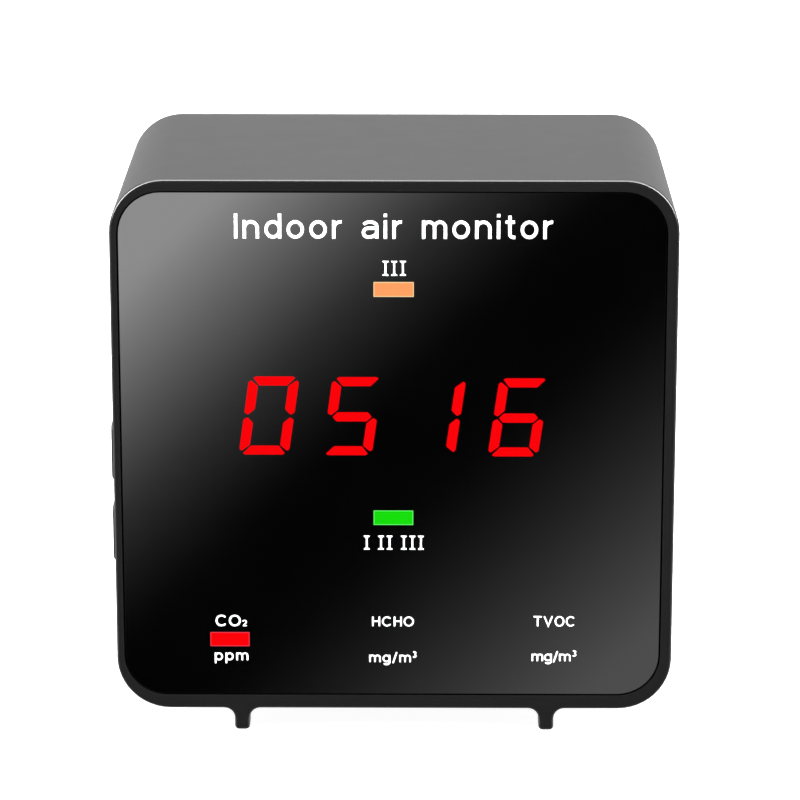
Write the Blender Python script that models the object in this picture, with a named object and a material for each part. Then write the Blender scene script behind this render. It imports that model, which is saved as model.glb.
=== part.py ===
"""A desktop carbon dioxide and air monitor, in metres, +Z up, front towards -Y.

The origin is on the surface that the monitor stands on, under the middle of the body.
A one-piece square tube housing carries a black front panel and an inset rear cover. The main
board with the display and the indicator lamps stands behind the panel. The sensor board and
the charge board are fixed to the rear cover, and the battery lies between them.
"""

import math

import bmesh
import bpy
from mathutils import Vector

# Body
WIDTH = 0.0720
BODY_HEIGHT = 0.0704
DEPTH = 0.0430
CORNER_RADIUS = 0.0069
WALL = 0.0018
EDGE_ROUND = 0.00045
FOOT_HEIGHT = 0.00295
FRONT_Y = -DEPTH / 2
REAR_Y = DEPTH / 2
MID_Z = FOOT_HEIGHT + BODY_HEIGHT / 2
INNER_X = WIDTH / 2 - WALL
INNER_Z = BODY_HEIGHT / 2 - WALL

# Feet, four short ones with a flared root
FOOT_X = 0.0198
FOOT_HALF_WIDTH = 0.00098
FOOT_ROOT_RADIUS = 0.0014
FOOT_TIP_RADIUS = 0.0005
FOOT_DEPTH = 0.0030

# Front panel and the pocket that holds it
POCKET_X = 0.03480
POCKET_Z = 0.03355
POCKET_RADIUS = 0.0056
POCKET_CENTRE = (-0.00026, MID_Z + 0.00018)
PANEL_GAP = 0.00014
PANEL_RECESS = 0.00025
PANEL_THICKNESS = 0.0015
PANEL_EDGE = 0.00010
ADHESIVE_THICKNESS = 0.0004
ADHESIVE_INSET = 0.0005
ADHESIVE_CLEARANCE = 0.0003
THIN_GAP = 0.0001
LEDGE_THICKNESS = 0.0015
LEDGE_OPENING_X = 0.0324
LEDGE_OPENING_Z = 0.0306
LEDGE_OPENING_RADIUS = 0.0033
PANEL_FRONT_Y = FRONT_Y + PANEL_RECESS
PANEL_REAR_Y = PANEL_FRONT_Y + PANEL_THICKNESS
LEDGE_FRONT_Y = PANEL_REAR_Y + ADHESIVE_THICKNESS + 2 * THIN_GAP
LEDGE_REAR_Y = LEDGE_FRONT_Y + LEDGE_THICKNESS

# Rear cover and its pocket
COVER_THICKNESS = 0.0022
COVER_RECESS = 0.00015
REAR_POCKET_X = 0.03475
REAR_POCKET_Z = 0.03395
REAR_POCKET_RADIUS = 0.00575
COVER_GAP = 0.0002
COVER_REAR_Y = REAR_Y - COVER_RECESS
COVER_FRONT_Y = COVER_REAR_Y - COVER_THICKNESS
COVER_SEAT_Y = COVER_FRONT_Y - 0.00015

# Corner columns for the cover's screws
COLUMN_X = 0.0310
COLUMN_Z = 0.0302
COLUMN_RADIUS = 0.0033
PILOT_RADIUS = 0.0010
PILOT_DEPTH = 0.0095
BOARD_PILOT_DEPTH = 0.0052
SCREW_HOLE_RADIUS = 0.00115
SINK_RADIUS = 0.0022
SINK_DEPTH = 0.0013

# Vents and the charging port's hole in the rear cover
VENT_COUNT = 7
VENT_PITCH = 0.0037
VENT_HALF_LENGTH = 0.0150
VENT_HALF_HEIGHT = 0.0008
VENT_MID_Z = 0.0430
PORT_HALF_X = 0.0048
PORT_HALF_Z = 0.0019

# Room between touching pieces, and how far a cutter reaches past what it cuts
GAP = 0.00015
PAST = 0.0010

# Main board, with its standoffs
BOARD_FRONT_Y = FRONT_Y + 0.0100
BOARD_THICKNESS = 0.0016
BOARD_REAR_Y = BOARD_FRONT_Y + BOARD_THICKNESS
BOARD_HALF = 0.0326
BOARD_NOTCH_X = 0.0273
BOARD_NOTCH_Z = 0.0264
STANDOFF_RADIUS = 0.0022
STANDOFF_Z = 0.0304
STANDOFFS = ((-0.0230, STANDOFF_Z), (0.0230, STANDOFF_Z), (-0.0154, -STANDOFF_Z), (0.0154, -STANDOFF_Z))
CHIP_Y = BOARD_REAR_Y + GAP

# Display and indicator lamps, heights measured from the underside of the body
DISPLAY_SIZE = (0.0402, 0.00695, 0.0128)
DISPLAY_X = -0.0003
DISPLAY_Z = FOOT_HEIGHT + 0.0397
LAMP_ROW_Z = FOOT_HEIGHT + 0.00952
LAMPS = (
    ("air_level", 0.0, FOOT_HEIGHT + 0.05624),
    ("grade", 0.0, FOOT_HEIGHT + 0.02608),
    ("co2", -0.0213, LAMP_ROW_Z),
    ("hcho", 0.0, LAMP_ROW_Z),
    ("tvoc", 0.02085, LAMP_ROW_Z),
)
LAMP_HALF_X = 0.0026
LAMP_HALF_Z = 0.0010
LAMP_CLEARANCE = 0.00015
TUNNEL_WALL = 0.0008
MASK_HALF_X = 0.0270
MASK_BOTTOM_Z = 0.0102
MASK_TOP_Z = 0.0615
MASK_FRONT_Y = FRONT_Y + 0.0026
MASK_THICKNESS = 0.0011
GUIDE_END = 0.0011
CHIP_HALF_X = 0.0016
CHIP_HALF_Z = 0.0008
DISPLAY_CLEARANCE = 0.0002

# Side buttons and the switches behind them
BUTTON_Y = FRONT_Y + 0.0082
BUTTON_HALF_Y = 0.0018
BUTTON_HALF_Z = 0.00387
BUTTON_RADIUS = 0.0010
BUTTON_PROUD = 0.00075
BUTTON_CLEARANCE = 0.00012
BUTTON_FLANGE = 0.0008
BUTTON_EDGE = 0.00035
BUTTONS = (("power", 0.03578), ("mode", 0.0248))
SWITCH_FACE_X = -0.0322
SWITCH_SIZE = (0.0035, 0.0035, 0.0060)
SWITCH_SLOT_HALF_Y = 0.0008
SWITCH_SLOT_HALF_Z = 0.0016
SWITCH_SLOT_DEPTH = 0.0013
PLUNGER_LENGTH = 0.0014
PLUNGER_CLEARANCE = 0.0002

# Sensor board and its sensors
SENSOR_BOARD_X = 0.0230
SENSOR_BOARD_Z = (0.0260, 0.0600)
SENSOR_BOARD_Y = (REAR_Y - 0.0142, REAR_Y - 0.0130)
SENSOR_STANDOFF_X = 0.0200
SENSOR_STANDOFF_Z = (0.0290, 0.0570)
SENSOR_SEAT_Y = SENSOR_BOARD_Y[1] + GAP
CO2_CENTRE = (-0.0065, 0.0430)
CO2_HALF_SIZE = (0.0100, 0.0155)
CO2_BASE_HEIGHT = 0.0060
CO2_CHAMBER_HALF_SIZE = (0.0075, 0.0115)
CO2_HEIGHT = 0.0088
CO2_WINDOW_HALF_SIZE = (0.0035, 0.0060)
CO2_WINDOW_DEPTH = 0.0006

# Charge board, its rails and its port
CHARGE_BOARD_X = 0.0109
CHARGE_BOARD_Y = (REAR_Y - 0.0195, REAR_Y - 0.0030)
CHARGE_BOARD_Z = (0.0071, 0.0083)
RAIL_LIP = 0.0010
RAIL_REACH = 0.0014
RAIL_HEIGHT = 0.0016
CHARGE_SEAT_Z = CHARGE_BOARD_Z[1] + GAP
PORT_SHELL_HALF_X = 0.00447
PORT_SHELL_HALF_Z = 0.00158
PORT_SHELL_LENGTH = 0.0073
PORT_SHELL_WALL = 0.0003
PORT_SHELL_RECESS = 0.0008
PORT_Z = CHARGE_SEAT_Z + PORT_SHELL_HALF_Z + 0.00002

# Battery, its plug and the leads
BATTERY_LOW = (-0.0250, BOARD_REAR_Y + 0.00125, 0.0170)
BATTERY_HIGH = (0.0250, BOARD_REAR_Y + 0.00725, 0.0510)
PAD_INSET = 0.0050
PLUG_CENTRE = (0.0220, 0.0105)
HEADER_HALF_SIZE = (0.0039, 0.0024)
HEADER_HEIGHT = 0.0048
HEADER_WALL = 0.0006
HEADER_FLOOR = 0.0010
LEAD_RADIUS = 0.00045
LEAD_SPACING = 0.0010

# Flat cable between the boards
RIBBON_X = 0.0120
RIBBON_HALF_WIDTH = 0.0038
RIBBON_THICKNESS = 0.0007
SOCKET_HEIGHT = 0.0030
SOCKET_HALF_Z = 0.0016
SOCKET_MARGIN = 0.0006
SOCKET_MAIN_Z = 0.0560
SOCKET_SENSOR_Z = 0.0550

BLACK_PLASTIC = ("black_plastic", (0.030, 0.030, 0.032), 0.50, 0.0)
PANEL_BLACK = ("panel_black", (0.004, 0.004, 0.005), 0.06, 0.0)
FOAM_TAPE = ("foam_tape", (0.020, 0.020, 0.020), 0.90, 0.0)
BOARD_GREEN = ("board_green", (0.010, 0.110, 0.045), 0.40, 0.0)
CHIP_BLACK = ("chip_black", (0.015, 0.015, 0.016), 0.55, 0.0)
TINNED_METAL = ("tinned_metal", (0.620, 0.620, 0.600), 0.28, 1.0)
SCREW_STEEL = ("screw_steel", (0.160, 0.160, 0.165), 0.35, 1.0)
DISPLAY_GREY = ("display_grey", (0.060, 0.060, 0.065), 0.50, 0.0)
MASK_BLACK = ("mask_black", (0.012, 0.012, 0.012), 0.80, 0.0)
LAMP_CLEAR = ("lamp_clear", (0.800, 0.800, 0.780), 0.35, 0.0)
LAMP_WHITE = ("lamp_white", (0.850, 0.800, 0.550), 0.40, 0.0)
SENSOR_GOLD = ("sensor_gold", (0.700, 0.480, 0.160), 0.35, 1.0)
SENSOR_WHITE = ("sensor_white", (0.700, 0.700, 0.680), 0.50, 0.0)
BATTERY_SILVER = ("battery_silver", (0.550, 0.560, 0.570), 0.38, 0.8)
CONNECTOR_WHITE = ("connector_white", (0.780, 0.760, 0.700), 0.50, 0.0)
WIRE_RED = ("wire_red", (0.500, 0.015, 0.012), 0.50, 0.0)
WIRE_BLACK = ("wire_black", (0.014, 0.014, 0.014), 0.50, 0.0)
RIBBON_GREY = ("ribbon_grey", (0.350, 0.350, 0.360), 0.55, 0.0)

SMOOTH_ANGLE = math.radians(35)


def arc(centre, radius, start, end, steps):
    """Points on an arc from one angle to another in degrees, both ends included."""
    angles = [math.radians(start + (end - start) * i / steps) for i in range(steps + 1)]
    return [(centre[0] + radius * math.cos(a), centre[1] + radius * math.sin(a)) for a in angles]


def rounded_rect(half_u, half_v, radius, steps=6, centre=(0.0, 0.0)):
    """An outline with round corners, counter-clockwise."""
    points = []
    for turn, (su, sv) in enumerate(((1, -1), (1, 1), (-1, 1), (-1, -1))):
        corner = (centre[0] + su * (half_u - radius), centre[1] + sv * (half_v - radius))
        points += arc(corner, radius, -90 + 90 * turn, 90 * turn, steps)
    return points


def foot_outline(centre_x):
    """One foot in front view, from its left root to its right root."""
    low, high = FOOT_TIP_RADIUS, FOOT_HEIGHT - FOOT_ROOT_RADIUS
    root = FOOT_HALF_WIDTH + FOOT_ROOT_RADIUS
    tip = FOOT_HALF_WIDTH - FOOT_TIP_RADIUS
    return (
        arc((centre_x - root, high), FOOT_ROOT_RADIUS, 90, 0, 6)
        + arc((centre_x - tip, low), FOOT_TIP_RADIUS, 180, 270, 4)
        + arc((centre_x + tip, low), FOOT_TIP_RADIUS, 270, 360, 4)
        + arc((centre_x + root, high), FOOT_ROOT_RADIUS, 180, 90, 6)
    )


def body_outline():
    """The body in front view with two feet below it, counter-clockwise from the left foot."""
    corners = rounded_rect(WIDTH / 2, BODY_HEIGHT / 2, CORNER_RADIUS, 12, (0.0, MID_Z))
    return foot_outline(-FOOT_X) + foot_outline(FOOT_X) + corners


AXES = {"X": (1, 2, 0), "Y": (0, 2, 1), "Z": (0, 1, 2)}


def add_prism(bm, outline, start, end, axis="Y"):
    """An outline extruded along an axis, its two coordinates being the other axes in order."""
    first, second, along = AXES[axis]
    rings = []
    for level in (start, end):
        ring = []
        for u, v in outline:
            place = [0.0, 0.0, 0.0]
            place[first], place[second], place[along] = u, v, level
            ring.append(bm.verts.new(place))
        rings.append(ring)
    near, far = rings
    bm.faces.new(near)
    bm.faces.new(far[::-1])
    for i in range(len(near)):
        j = (i + 1) % len(near)
        bm.faces.new((near[j], near[i], far[i], far[j]))


def add_box(bm, low, high):
    outline = [(low[0], low[2]), (high[0], low[2]), (high[0], high[2]), (low[0], high[2])]
    add_prism(bm, outline, low[1], high[1])


def add_cylinder(bm, centre, radius, start, end, axis="Y", steps=20):
    """A cylinder along an axis; centre holds its other two coordinates."""
    add_prism(bm, arc(centre, radius, 0, 360 - 360 / steps, steps - 1), start, end, axis)


def add_lathe(bm, profile, steps=24):
    """A profile of (radius, height) pairs turned about Z, its first and last points on the axis."""
    rings = []
    for radius, height in profile:
        if radius == 0:
            rings.append([bm.verts.new((0, 0, height))])
            continue
        circle = arc((0, 0), radius, 0, 360 - 360 / steps, steps - 1)
        rings.append([bm.verts.new((x, y, height)) for x, y in circle])
    for lower, upper in zip(rings, rings[1:]):
        for i in range(steps):
            j = (i + 1) % steps
            below = (lower[i % len(lower)], lower[j % len(lower)])
            above = (upper[j % len(upper)], upper[i % len(upper)])
            bm.faces.new(list(dict.fromkeys((*below, *above))))


def material(look):
    name, colour, roughness, metallic = look
    made = bpy.data.materials.get(name)
    if made:
        return made
    made = bpy.data.materials.new(name)
    made.use_nodes = True
    made.diffuse_color = (*colour, 1.0)
    shader = made.node_tree.nodes["Principled BSDF"]
    shader.inputs["Base Color"].default_value = (*colour, 1.0)
    shader.inputs["Roughness"].default_value = roughness
    shader.inputs["Metallic"].default_value = metallic
    return made


def empty(name, location, parent=None):
    made = bpy.data.objects.new(name, None)
    made.location = location
    made.parent = parent
    bpy.context.scene.collection.objects.link(made)
    return made


def mesh_object(name, bm, look=None, origin=None, parent=None):
    """A mesh in world coordinates as an object, its origin at the given point or at its middle."""
    bmesh.ops.recalc_face_normals(bm, faces=bm.faces)
    if origin is None:
        places = [v.co for v in bm.verts]
        origin = [(min(p[i] for p in places) + max(p[i] for p in places)) / 2 for i in range(3)]
    bmesh.ops.translate(bm, verts=bm.verts, vec=-Vector(origin))
    mesh = bpy.data.meshes.new(name)
    bm.to_mesh(mesh)
    bm.free()
    mesh.shade_smooth()
    mesh.set_sharp_from_angle(angle=SMOOTH_ANGLE)
    made = bpy.data.objects.new(name, mesh)
    made.parent = parent
    made.location = Vector(origin) - (parent.location if parent else Vector())
    if look:
        mesh.materials.append(material(look))
    bpy.context.scene.collection.objects.link(made)
    return made


def helper(name, bm):
    """A cutter or a joined shape, which isn't a piece of its own."""
    made = mesh_object(name, bm)
    made.hide_render = True
    made.display_type = "WIRE"
    return made


def boolean(piece, operation, name, bm):
    modifier = piece.modifiers.new(name, "BOOLEAN")
    modifier.operation = operation
    modifier.solver = "EXACT"
    modifier.object = helper(f"{piece.name}_{name}", bm)


def cut(piece, name, bm):
    boolean(piece, "DIFFERENCE", name, bm)


def join(piece, name, bm):
    boolean(piece, "UNION", name, bm)


def bevel(piece, width, steps=2, angle=50):
    modifier = piece.modifiers.new("edges", "BEVEL")
    modifier.width = width
    modifier.segments = steps
    modifier.limit_method = "ANGLE"
    modifier.angle_limit = math.radians(angle)


def prism_piece(name, outline, start, end, look, parent, axis="Y"):
    bm = bmesh.new()
    add_prism(bm, outline, start, end, axis)
    return mesh_object(name, bm, look, parent=parent)


def box_piece(name, low, high, look, parent, edge=0.0):
    bm = bmesh.new()
    add_box(bm, low, high)
    piece = mesh_object(name, bm, look, parent=parent)
    if edge:
        bevel(piece, edge)
    return piece


def prism_shape(outline, start, end, axis="Y"):
    bm = bmesh.new()
    add_prism(bm, outline, start, end, axis)
    return bm


def box_shapes(*boxes):
    bm = bmesh.new()
    for low, high in boxes:
        add_box(bm, low, high)
    return bm


def cylinder_shapes(centres, radius, start, end, axis="Y", steps=20):
    bm = bmesh.new()
    for centre in centres:
        add_cylinder(bm, centre, radius, start, end, axis, steps)
    return bm


def four_corners(x, z):
    return [(sx * x, MID_Z + sz * z) for sx, sz in ((-1, 1), (1, 1), (-1, -1), (1, -1))]


def standoff_centres():
    return [(x, MID_Z + z) for x, z in STANDOFFS]


def sensor_post_centres():
    return [(sx * SENSOR_STANDOFF_X, z) for sx in (-1, 1) for z in SENSOR_STANDOFF_Z]


def make_housing(root):
    """The one-piece tube: feet, ledge for the panel, corner columns and board standoffs."""
    housing = prism_piece("housing", body_outline(), FRONT_Y, REAR_Y, BLACK_PLASTIC, root)
    bevel(housing, EDGE_ROUND, 3)
    between_feet = (
        (-WIDTH / 2, FRONT_Y + FOOT_DEPTH, -PAST),
        (WIDTH / 2, REAR_Y - FOOT_DEPTH, FOOT_HEIGHT),
    )
    cut(housing, "between_feet", box_shapes(between_feet))
    middle = (0.0, MID_Z)
    pocket = rounded_rect(POCKET_X, POCKET_Z, POCKET_RADIUS, 10, POCKET_CENTRE)
    cut(housing, "panel_pocket", prism_shape(pocket, FRONT_Y - PAST, LEDGE_FRONT_Y))
    opening = rounded_rect(LEDGE_OPENING_X, LEDGE_OPENING_Z, LEDGE_OPENING_RADIUS, 6, middle)
    cut(housing, "ledge_opening", prism_shape(opening, FRONT_Y, 0.0))
    cavity = rounded_rect(INNER_X, INNER_Z, CORNER_RADIUS - WALL, 8, middle)
    cut(housing, "cavity", prism_shape(cavity, LEDGE_REAR_Y, REAR_Y + PAST))
    rear_pocket = rounded_rect(REAR_POCKET_X, REAR_POCKET_Z, REAR_POCKET_RADIUS, 10, middle)
    cut(housing, "cover_pocket", prism_shape(rear_pocket, COVER_SEAT_Y, REAR_Y + PAST))
    in_ledge = (LEDGE_FRONT_Y + LEDGE_REAR_Y) / 2
    columns = four_corners(COLUMN_X, COLUMN_Z)
    join(housing, "columns", cylinder_shapes(columns, COLUMN_RADIUS, in_ledge, COVER_SEAT_Y))
    standoff_end = BOARD_FRONT_Y - GAP
    centres = standoff_centres()
    join(housing, "standoffs", cylinder_shapes(centres, STANDOFF_RADIUS, in_ledge, standoff_end))
    pilot_start = COVER_SEAT_Y - PILOT_DEPTH
    cut(housing, "cover_pilots", cylinder_shapes(columns, PILOT_RADIUS, pilot_start, REAR_Y, steps=12))
    pilot_start = standoff_end - BOARD_PILOT_DEPTH
    board_pilots = cylinder_shapes(centres, PILOT_RADIUS, pilot_start, 0.0, steps=12)
    cut(housing, "board_pilots", board_pilots)
    holes = bmesh.new()
    for _, z in BUTTONS:
        hole = rounded_rect(
            BUTTON_HALF_Y + BUTTON_CLEARANCE,
            BUTTON_HALF_Z + BUTTON_CLEARANCE,
            BUTTON_RADIUS + BUTTON_CLEARANCE,
            5,
            (BUTTON_Y, z),
        )
        add_prism(holes, hole, -WIDTH / 2 - PAST, -INNER_X + PAST, "X")
    cut(housing, "button_holes", holes)


def make_front_panel(root):
    """The glossy panel in its pocket, and the adhesive frame that holds it to the ledge."""
    gap = PANEL_GAP
    outline = rounded_rect(POCKET_X - gap, POCKET_Z - gap, POCKET_RADIUS - gap, 10, POCKET_CENTRE)
    panel = prism_piece("front_panel", outline, PANEL_FRONT_Y, PANEL_REAR_Y, PANEL_BLACK, root)
    bevel(panel, PANEL_EDGE)
    inset = ADHESIVE_INSET
    ring = rounded_rect(POCKET_X - inset, POCKET_Z - inset, POCKET_RADIUS - inset, 6, POCKET_CENTRE)
    start = PANEL_REAR_Y + THIN_GAP
    adhesive = prism_piece("panel_adhesive", ring, start, start + ADHESIVE_THICKNESS, FOAM_TAPE, root)
    clear = ADHESIVE_CLEARANCE
    hole = rounded_rect(
        LEDGE_OPENING_X + clear, LEDGE_OPENING_Z + clear, LEDGE_OPENING_RADIUS + clear, 6, (0.0, MID_Z)
    )
    cut(adhesive, "opening", prism_shape(hole, FRONT_Y, 0.0))


def make_rear_cover(root):
    """The inset rear cover: vents, port, screw holes, sensor standoffs and board rails."""
    middle = (0.0, MID_Z)
    outline = rounded_rect(
        REAR_POCKET_X - COVER_GAP, REAR_POCKET_Z - COVER_GAP, REAR_POCKET_RADIUS - COVER_GAP, 10, middle
    )
    cover = prism_piece("rear_cover", outline, COVER_FRONT_Y, COVER_REAR_Y, BLACK_PLASTIC, root)
    bevel(cover, 0.0003)
    vents = bmesh.new()
    for i in range(VENT_COUNT):
        centre = (0.0, VENT_MID_Z + (i - (VENT_COUNT - 1) / 2) * VENT_PITCH)
        slot = rounded_rect(VENT_HALF_LENGTH, VENT_HALF_HEIGHT, VENT_HALF_HEIGHT - 0.00001, 4, centre)
        add_prism(vents, slot, COVER_FRONT_Y - PAST, COVER_REAR_Y + PAST)
    cut(cover, "vents", vents)
    port = rounded_rect(PORT_HALF_X, PORT_HALF_Z, PORT_HALF_Z - 0.00001, 6, (0.0, PORT_Z))
    cut(cover, "port", prism_shape(port, COVER_FRONT_Y - PAST, COVER_REAR_Y + PAST))
    columns = four_corners(COLUMN_X, COLUMN_Z)
    start, end = COVER_FRONT_Y - PAST, COVER_REAR_Y + PAST
    sinks = cylinder_shapes(columns, SINK_RADIUS, COVER_REAR_Y - SINK_DEPTH, end)
    cut(cover, "screw_sinks", sinks)
    cut(cover, "screw_holes", cylinder_shapes(columns, SCREW_HOLE_RADIUS, start, end))
    in_cover = COVER_FRONT_Y + 0.0004
    posts = sensor_post_centres()
    post_shapes = cylinder_shapes(posts, STANDOFF_RADIUS, SENSOR_SEAT_Y, in_cover, steps=16)
    join(cover, "sensor_posts", post_shapes)
    start, end = SENSOR_SEAT_Y - PAST, SENSOR_SEAT_Y + BOARD_PILOT_DEPTH
    cut(cover, "sensor_pilots", cylinder_shapes(posts, PILOT_RADIUS, start, end, steps=12))
    rails = bmesh.new()
    for side in (-1, 1):
        add_prism(rails, rail_outline(side), CHARGE_BOARD_Y[0], in_cover)
    join(cover, "board_rails", rails)


def rail_outline(side):
    """A grooved rail in front view, which holds one edge of the charge board."""
    inner, outer = CHARGE_BOARD_X - RAIL_LIP, CHARGE_BOARD_X + RAIL_REACH
    groove = CHARGE_BOARD_X + GAP
    bottom, top = CHARGE_BOARD_Z[0] - RAIL_HEIGHT, CHARGE_BOARD_Z[1] + RAIL_HEIGHT
    low, high = CHARGE_BOARD_Z[0] - GAP, CHARGE_BOARD_Z[1] + GAP
    corners = (
        (inner, bottom), (outer, bottom), (outer, top), (inner, top),
        (inner, high), (groove, high), (groove, low), (inner, low),
    )
    return [(side * x, z) for x, z in corners]


def make_buttons(root):
    """Two side buttons on slides along X, each with the plunger of the switch behind it."""
    for name, z in BUTTONS:
        axis = empty(f"{name}_button_axis", (-WIDTH / 2, BUTTON_Y, z), root)
        face = -WIDTH / 2 - BUTTON_PROUD
        flange_face = -INNER_X + GAP
        flange_back = flange_face + BUTTON_FLANGE
        outline = rounded_rect(BUTTON_HALF_Y, BUTTON_HALF_Z, BUTTON_RADIUS, 5, (BUTTON_Y, z))
        button = prism_piece(f"{name}_button", outline, face, flange_back, BLACK_PLASTIC, axis, "X")
        bevel(button, BUTTON_EDGE, 3)
        flange = (
            (flange_face, BUTTON_Y - BUTTON_HALF_Y - BUTTON_FLANGE, z - BUTTON_HALF_Z - BUTTON_FLANGE),
            (flange_back, BOARD_FRONT_Y - GAP, z + BUTTON_HALF_Z + BUTTON_FLANGE),
        )
        join(button, "flange", box_shapes(flange))
        start = flange_back + GAP
        half_y = SWITCH_SLOT_HALF_Y - PLUNGER_CLEARANCE
        half_z = SWITCH_SLOT_HALF_Z - PLUNGER_CLEARANCE
        box_piece(
            f"{name}_switch_plunger",
            (start, BUTTON_Y - half_y, z - half_z),
            (start + PLUNGER_LENGTH, BUTTON_Y + half_y, z + half_z),
            CONNECTOR_WHITE,
            axis,
            0.0001,
        )
        make_switch(name, z, root)


def make_switch(name, z, root):
    """A side-push switch soldered to the front of the main board."""
    length, height, width = SWITCH_SIZE
    back = BOARD_FRONT_Y - GAP
    switch = box_piece(
        f"{name}_switch",
        (SWITCH_FACE_X, back - height, z - width / 2),
        (SWITCH_FACE_X + length, back, z + width / 2),
        CHIP_BLACK,
        root,
    )
    slot = (
        (SWITCH_FACE_X - PAST, BUTTON_Y - SWITCH_SLOT_HALF_Y, z - SWITCH_SLOT_HALF_Z),
        (SWITCH_FACE_X + SWITCH_SLOT_DEPTH, BUTTON_Y + SWITCH_SLOT_HALF_Y, z + SWITCH_SLOT_HALF_Z),
    )
    cut(switch, "slot", box_shapes(slot))


def make_main_board(root):
    """The main board, its corners notched round the housing's columns."""
    corners = []
    for sx, sz in ((1, -1), (1, 1), (-1, 1), (-1, -1)):
        steps = [(BOARD_NOTCH_X, BOARD_HALF), (BOARD_NOTCH_X, BOARD_NOTCH_Z), (BOARD_HALF, BOARD_NOTCH_Z)]
        if sx * sz > 0:
            steps.reverse()
        corners += [(sx * x, MID_Z + sz * z) for x, z in steps]
    board = prism_piece("main_board", corners, BOARD_FRONT_Y, BOARD_REAR_Y, BOARD_GREEN, root)
    start, end = BOARD_FRONT_Y - PAST, BOARD_REAR_Y + PAST
    holes = cylinder_shapes(standoff_centres(), SCREW_HOLE_RADIUS, start, end, steps=16)
    cut(board, "screw_holes", holes)


def make_display(root):
    """The four-digit display, the light mask round it, and the lamps' light guides and chips."""
    width, depth, height = DISPLAY_SIZE
    back = BOARD_FRONT_Y - GAP
    low = (DISPLAY_X - width / 2, back - depth, DISPLAY_Z - height / 2)
    high = (DISPLAY_X + width / 2, back, DISPLAY_Z + height / 2)
    box_piece("display_module", low, high, DISPLAY_GREY, root, 0.0003)
    mask_rear = MASK_FRONT_Y + MASK_THICKNESS
    mask = box_piece(
        "light_mask",
        (-MASK_HALF_X, MASK_FRONT_Y, MASK_BOTTOM_Z),
        (MASK_HALF_X, mask_rear, MASK_TOP_Z),
        MASK_BLACK,
        root,
    )
    tunnels, channels = bmesh.new(), bmesh.new()
    cut_start, cut_end = MASK_FRONT_Y - PAST, back + PAST
    guide_rear = back - GUIDE_END
    for name, x, z in LAMPS:
        clear_x, clear_z = LAMP_HALF_X + LAMP_CLEARANCE, LAMP_HALF_Z + LAMP_CLEARANCE
        wall_x, wall_z = clear_x + TUNNEL_WALL, clear_z + TUNNEL_WALL
        add_box(tunnels, (x - wall_x, mask_rear - 0.0004, z - wall_z), (x + wall_x, back, z + wall_z))
        add_box(channels, (x - clear_x, cut_start, z - clear_z), (x + clear_x, cut_end, z + clear_z))
        box_piece(
            f"{name}_light_guide",
            (x - LAMP_HALF_X, PANEL_REAR_Y + 0.0002, z - LAMP_HALF_Z),
            (x + LAMP_HALF_X, guide_rear, z + LAMP_HALF_Z),
            LAMP_CLEAR,
            root,
        )
        box_piece(
            f"{name}_lamp",
            (x - CHIP_HALF_X, guide_rear + GAP, z - CHIP_HALF_Z),
            (x + CHIP_HALF_X, back, z + CHIP_HALF_Z),
            LAMP_WHITE,
            root,
            0.0001,
        )
    join(mask, "tunnels", tunnels)
    clear = DISPLAY_CLEARANCE
    add_box(
        channels,
        (low[0] - clear, cut_start, low[2] - clear),
        (high[0] + clear, cut_end, high[2] + clear),
    )
    cut(mask, "channels", channels)


def make_chip(name, centre, size, legs, look, root, sides=2):
    """A flat chip on the rear of the main board, with a row of legs along each side."""
    x, z = centre
    width, thickness, height = size
    top = CHIP_Y + thickness
    chip = box_piece(
        name,
        (x - width / 2, CHIP_Y + 0.0001, z - height / 2),
        (x + width / 2, top, z + height / 2),
        look,
        root,
        0.0001,
    )
    rows = bmesh.new()
    reach, half = 0.0009, 0.0002
    along, across = (width, height) if sides == 2 else (height, width)
    pitch = along * 0.9 / legs
    for i in range(legs):
        offset = (i - (legs - 1) / 2) * pitch
        for side in (-1, 1):
            edge = side * across / 2
            spans = sorted((edge - side * 0.0003, edge + side * reach))
            if sides == 2:
                low, high = (x + offset - half, z + spans[0]), (x + offset + half, z + spans[1])
            else:
                low, high = (x + spans[0], z + offset - half), (x + spans[1], z + offset + half)
            add_box(rows, (low[0], CHIP_Y, low[1]), (high[0], CHIP_Y + 0.0004, high[1]))
    join(chip, "legs", rows)


def make_board_parts(root):
    make_chip("microcontroller", (-0.0195, 0.0620), (0.0070, 0.0016, 0.0070), 8, CHIP_BLACK, root)
    make_chip("display_driver", (0.0010, 0.0640), (0.0154, 0.0024, 0.0070), 8, CHIP_BLACK, root)
    make_chip("voltage_regulator", (0.0235, 0.0585), (0.0065, 0.0018, 0.0035), 3, CHIP_BLACK, root)
    outline = rounded_rect(0.0052, 0.0021, 0.0020, 6, (-0.0105, 0.0560))
    crystal = prism_piece("clock_crystal", outline, CHIP_Y, CHIP_Y + 0.0034, TINNED_METAL, root)
    bevel(crystal, 0.0003)


def make_screw_mesh(name, head_radius, head_height, shank_radius, shank_length, steps):
    """A round-headed screw along Z, its head up and its seat at zero, with a cross recess."""
    bm = bmesh.new()
    profile = (
        (0, -shank_length),
        (shank_radius, -shank_length + 0.0008),
        (shank_radius, 0),
        (head_radius, 0),
        (head_radius, head_height * 0.45),
        (head_radius * 0.75, head_height),
        (0, head_height),
    )
    add_lathe(bm, profile, steps)
    blank = mesh_object(f"{name}_blank", bm, SCREW_STEEL, origin=(0, 0, 0))
    arm, half = head_radius * 0.55, head_radius * 0.13
    cross = [
        (half, -arm), (half, -half), (arm, -half), (arm, half), (half, half), (half, arm),
        (-half, arm), (-half, half), (-arm, half), (-arm, -half), (-half, -half), (-half, -arm),
    ]
    cut(blank, "cross", prism_shape(cross, head_height * 0.4, head_height * 2, "Z"))
    bpy.context.view_layer.update()
    graph = bpy.context.evaluated_depsgraph_get()
    made = bpy.data.meshes.new_from_object(blank.evaluated_get(graph))
    made.name = name
    bpy.data.objects.remove(blank)
    return made


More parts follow.
